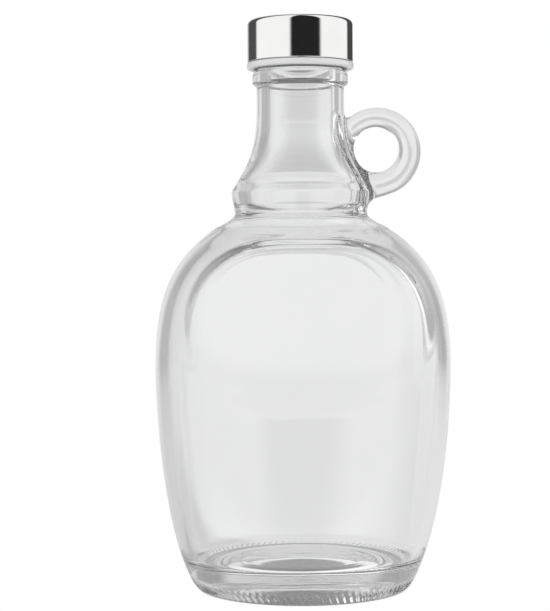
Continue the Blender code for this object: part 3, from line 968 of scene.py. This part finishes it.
# Each part of the room seen in glass: the bearing where it begins, in degrees to the
# right of the camera, and how bright it is on the floor, near the horizon and higher up.
SEEN_IN_GLASS = [
    (-60, 0.78, 0.92, 1.55),
    (10, 0.88, 0.96, 1.55),
    (60, 0.80, 0.98, 1.55),
    (125, 0.80, 0.44, 0.50),
    (152, 0.81, 0.85, 0.55),
    (165, 0.81, 0.82, 0.82),
    (195, 0.81, 0.82, 0.60),
    (206, 0.66, 0.48, 0.42),
    (250, 0.52, 0.50, 0.70),
    (275, 0.70, 0.90, 1.10),
    (300, 0.78, 0.92, 1.55),
]
# The same for the steel, which shows one wide dark gap around the camera and two behind.
SEEN_IN_STEEL = [
    (-60, 1.35),
    (-21, 0.022),
    (45, 1.35),
    (125, 0.08),
    (170, 0.72),
    (206, 0.10),
    (250, 1.35),
]
LIGHT_EDGE = 4.0
# A soft darker strip high on the backdrop, straight behind the neck.
STRIP = 0.76
STRIP_LEFT = 186.0
STRIP_RIGHT = 173.0
STRIP_FROM = 1.1
STRIP_FULL = 1.9
STRIP_END = 13.5
STRIP_END_EDGE = 1.0
# Degrees above the horizon where the higher lights and the dark ceiling come in, and
# metres from the jug where the near floor passes into the far one.
HIGHER_FROM = 7.0
HIGHER_FULL = 20.0
CEILING_FROM = 30.0
CEILING_FULL = 54.0
CEILING = 0.20
HORIZON_FROM = 0.2
HORIZON_FULL = 1.8
# Radius and brightness of the floor from the jug's middle outward: a painted shadow under the pushed-up
# disc and under the ring that the jug stands on, with a painted bright ring between them.
PAINTED_CONTACT_SHADE = [
    (0.0, 0.05),
    (0.0245, 0.05),
    (0.0305, 1.30),
    (0.0365, 1.35),
    (0.0385, 0.25),
    (0.0415, 0.20),
    (0.0432, 1.0),
]
# A dark patch painted into the floor's glow in front of the jug, which the glass mirrors below its panel
# as a painted dark reflection; the camera sees the floor white there. Through the glass it is only a
# little darker than the floor.
PAINTED_DARK_THROUGH_GLASS = 0.82
PAINTED_DARK_LEFT = 0.026
PAINTED_DARK_LEFT_SPREAD = 0.056
PAINTED_DARK_RIGHT_SPREAD = 0.28
PAINTED_DARK_EDGE = 0.007
PAINTED_DARK_EDGE_SPREAD = 0.08
PAINTED_DARK_NEAR = 0.10
PAINTED_DARK_NEAR_EDGE = 0.08
PAINTED_DARK_FAR = 1.65
PAINTED_DARK_FAR_EDGE = 0.5
# The front floor's gleam in the glass, from one cosine of the bearing to another.
GLEAM = 1.35
GLEAM_FROM = 0.4
GLEAM_FULL = 0.8


def bearing_of(x, y):
    """Degrees to the right of the camera, counted once round from the first bearing."""
    bearing = x.maths("ARCTAN2", x, 0 - y) * (180 / math.pi) - CAMERA_BEARING
    return bearing + 360 * bearing.maths("LESS_THAN", bearing, FIRST_BEARING)


def around(bearing, parts, column):
    """The brightness at a bearing, from a list of the room's parts."""
    level = parts[0][column]
    for before, part in zip(parts, parts[1:]):
        edge = part[0]
        level = level + bearing.eased(edge - LIGHT_EDGE, edge + LIGHT_EDGE, before[column], part[column])
        level = level - before[column]
    return level


def mixed(share, first, second):
    """The first value at a share of 0, the second at 1."""
    return first + share * (second - first)


def floor():
    """The white sweep that the jug stands on, which gives its light by itself, with a painted shadow
    under the jug and a painted dark reflection in front of it.
    """
    mesh = bmesh.new()
    bmesh.ops.create_circle(mesh, cap_ends=True, segments=96, radius=FLOOR_REACH)
    bmesh.ops.translate(mesh, verts=mesh.verts, vec=(0.0, 0.0, -FLOOR_DROP))
    data = bpy.data.meshes.new("floor")
    mesh.to_mesh(data)
    mesh.free()
    made = bpy.data.objects.new("floor", data)
    bpy.context.scene.collection.objects.link(made)
    paper = bpy.data.materials.new("white_sweep")
    paper.use_nodes = True
    tree = paper.node_tree
    shader = tree.nodes["Principled BSDF"]
    start = Wire(tree)
    x, y, z = start.node("ShaderNodeTexCoord", output="Object").parts()
    away = (x * x + y * y) ** 0.5
    # Painted shadow under the pushed-up disc and the ring the jug stands on, with a painted bright ring
    # between them; the camera sees it too.
    painted_shade = PAINTED_CONTACT_SHADE[0][1]
    for (near, before), (far, after) in zip(PAINTED_CONTACT_SHADE, PAINTED_CONTACT_SHADE[1:]):
        painted_shade = painted_shade + away.eased(near, far, 0.0, after - before)
    bearing = bearing_of(x, y)
    horizon = away.eased(HORIZON_FROM, HORIZON_FULL, 0.0, 1.0)
    lit = mixed(horizon, around(bearing, SEEN_IN_GLASS, 1), around(bearing, SEEN_IN_GLASS, 2))
    turn = bearing * (math.pi / 180)
    ahead = away * turn.maths("COSINE", turn)
    aside = away * turn.maths("SINE", turn)
    left = 0 - PAINTED_DARK_LEFT - PAINTED_DARK_LEFT_SPREAD * ahead
    right = PAINTED_DARK_RIGHT_SPREAD * ahead
    soft = PAINTED_DARK_EDGE + PAINTED_DARK_EDGE_SPREAD * ahead
    # A dark patch painted into the floor's glow in front of the jug, seen as a painted dark reflection in
    # the glass.
    painted_dark = ((aside - left) / soft).eased(-1.0, 1.0, 0.0, 1.0)
    painted_dark = painted_dark * ((right - aside) / soft).eased(-1.0, 1.0, 0.0, 1.0)
    painted_dark = painted_dark * ahead.eased(PAINTED_DARK_NEAR, PAINTED_DARK_NEAR + PAINTED_DARK_NEAR_EDGE, 0.0, 1.0)
    painted_dark = painted_dark * ahead.eased(PAINTED_DARK_FAR, PAINTED_DARK_FAR + PAINTED_DARK_FAR_EDGE, 1.0, 0.0)
    # Mirrored rays see the painted dark patch black and the front floor with a painted gleam; rays
    # through the glass see the patch a little darker than the floor.
    mirrored = start.node("ShaderNodeLightPath", output="Is Reflection Ray")
    gleam = turn.maths("COSINE", turn).eased(GLEAM_FROM, GLEAM_FULL, 1.0, GLEAM)
    lit = lit * mixed(mirrored, 1 - painted_dark * (1 - PAINTED_DARK_THROUGH_GLASS), (1 - painted_dark) * gleam)
    seen = start.node("ShaderNodeLightPath", output="Is Camera Ray")
    matt = start.node("ShaderNodeLightPath", output="Is Diffuse Ray")
    level = painted_shade * mixed(matt, mixed(seen, lit, 1.0), ROOM_ON_WHITE)
    shader.inputs["Base Color"].default_value = (0.0, 0.0, 0.0, 1.0)
    shader.inputs["Roughness"].default_value = 1.0
    shader.inputs["Specular IOR Level"].default_value = 0.0
    shader.inputs["Emission Strength"].default_value = 1.0
    tree.links.new(level.socket, shader.inputs["Emission Color"])
    made.data.materials.append(paper)


def white_room():
    """The lights and walls around the jug, seen by camera, glass and steel in turn."""
    world = bpy.data.worlds.new("white_room")
    bpy.context.scene.world = world
    world.use_nodes = True
    tree = world.node_tree
    start = Wire(tree)
    x, y, z = start.node("ShaderNodeTexCoord", output="Generated").parts()
    bearing = bearing_of(x, y)
    elevation = z.maths("ARCSINE", z) * (180 / math.pi)
    higher = elevation.eased(HIGHER_FROM, HIGHER_FULL, 0.0, 1.0)
    glass_light = mixed(higher, around(bearing, SEEN_IN_GLASS, 2), around(bearing, SEEN_IN_GLASS, 3))
    strip = bearing.eased(STRIP_RIGHT - LIGHT_EDGE, STRIP_RIGHT + LIGHT_EDGE, 0.0, 1.0)
    strip = strip * bearing.eased(STRIP_LEFT - LIGHT_EDGE, STRIP_LEFT + LIGHT_EDGE, 1.0, 0.0)
    strip = strip * elevation.eased(STRIP_FROM, STRIP_FULL, 0.0, 1.0)
    strip = strip * elevation.eased(STRIP_END - STRIP_END_EDGE, STRIP_END + STRIP_END_EDGE, 1.0, 0.0)
    glass_light = mixed(strip, glass_light, glass_light * STRIP)
    glass_light = mixed(elevation.eased(CEILING_FROM, CEILING_FULL, 0.0, 1.0), glass_light, CEILING)
    in_glass = start.node("ShaderNodeLightPath", output="Is Singular Ray")
    in_steel = start.node("ShaderNodeLightPath", output="Is Glossy Ray") * (1 - in_glass)
    matt = start.node("ShaderNodeLightPath", output="Is Diffuse Ray")
    level = mixed(in_glass, 1.0, glass_light)
    level = mixed(in_steel, level, around(bearing, SEEN_IN_STEEL, 1))
    level = mixed(matt, level, ROOM_ON_WHITE)
    back = tree.nodes["Background"]
    back.inputs["Strength"].default_value = 1.0
    tree.links.new(level.socket, back.inputs["Color"])


# The camera, close in front, a little to the left and just over half the jug's height.
# It looks slightly down and just left of the jug's axis, rolled by a third of a degree.

CAMERA_DISTANCE = 0.700
CAMERA_HEIGHT = 0.1316
CAMERA_AZIMUTH = math.radians(CAMERA_BEARING)
CAMERA_PITCH = math.radians(-1.392)
CAMERA_YAW = math.radians(0.883)
CAMERA_ROLL = math.radians(-0.3305)
METRES_PER_PIXEL = 0.000408
IMAGE_WIDTH = 550
SENSOR_WIDTH = 36.0


def camera():
    """A pinhole camera turned toward the jug's axis, then aside, down and a little rolled."""
    lens = bpy.data.cameras.new("camera")
    lens.sensor_fit = "HORIZONTAL"
    lens.sensor_width = SENSOR_WIDTH
    lens.lens = SENSOR_WIDTH * CAMERA_DISTANCE / METRES_PER_PIXEL / IMAGE_WIDTH
    lens.clip_start = 0.01
    made = bpy.data.objects.new("camera", lens)
    bpy.context.scene.collection.objects.link(made)
    place = Vector(
        (
            CAMERA_DISTANCE * math.sin(CAMERA_AZIMUTH),
            -CAMERA_DISTANCE * math.cos(CAMERA_AZIMUTH),
            CAMERA_HEIGHT,
        )
    )
    heading = math.atan2(-place.y, -place.x) + CAMERA_YAW
    ahead = Vector(
        (
            math.cos(heading) * math.cos(CAMERA_PITCH),
            math.sin(heading) * math.cos(CAMERA_PITCH),
            math.sin(CAMERA_PITCH),
        )
    )
    right = Vector((math.sin(heading), -math.cos(heading), 0.0))
    up = right.cross(ahead)
    rolled_right = right * math.cos(CAMERA_ROLL) + up * math.sin(CAMERA_ROLL)
    rolled_up = up * math.cos(CAMERA_ROLL) - right * math.sin(CAMERA_ROLL)
    turn = Matrix((rolled_right, rolled_up, -ahead)).transposed().to_4x4()
    made.matrix_world = Matrix.Translation(place) @ turn
    bpy.context.scene.camera = made


floor()
white_room()
camera()
bpy.context.scene.view_settings.view_transform = "Standard"
bpy.context.scene.cycles.max_bounces = 40
bpy.context.scene.cycles.transmission_bounces = 40
bpy.context.scene.cycles.glossy_bounces = 40
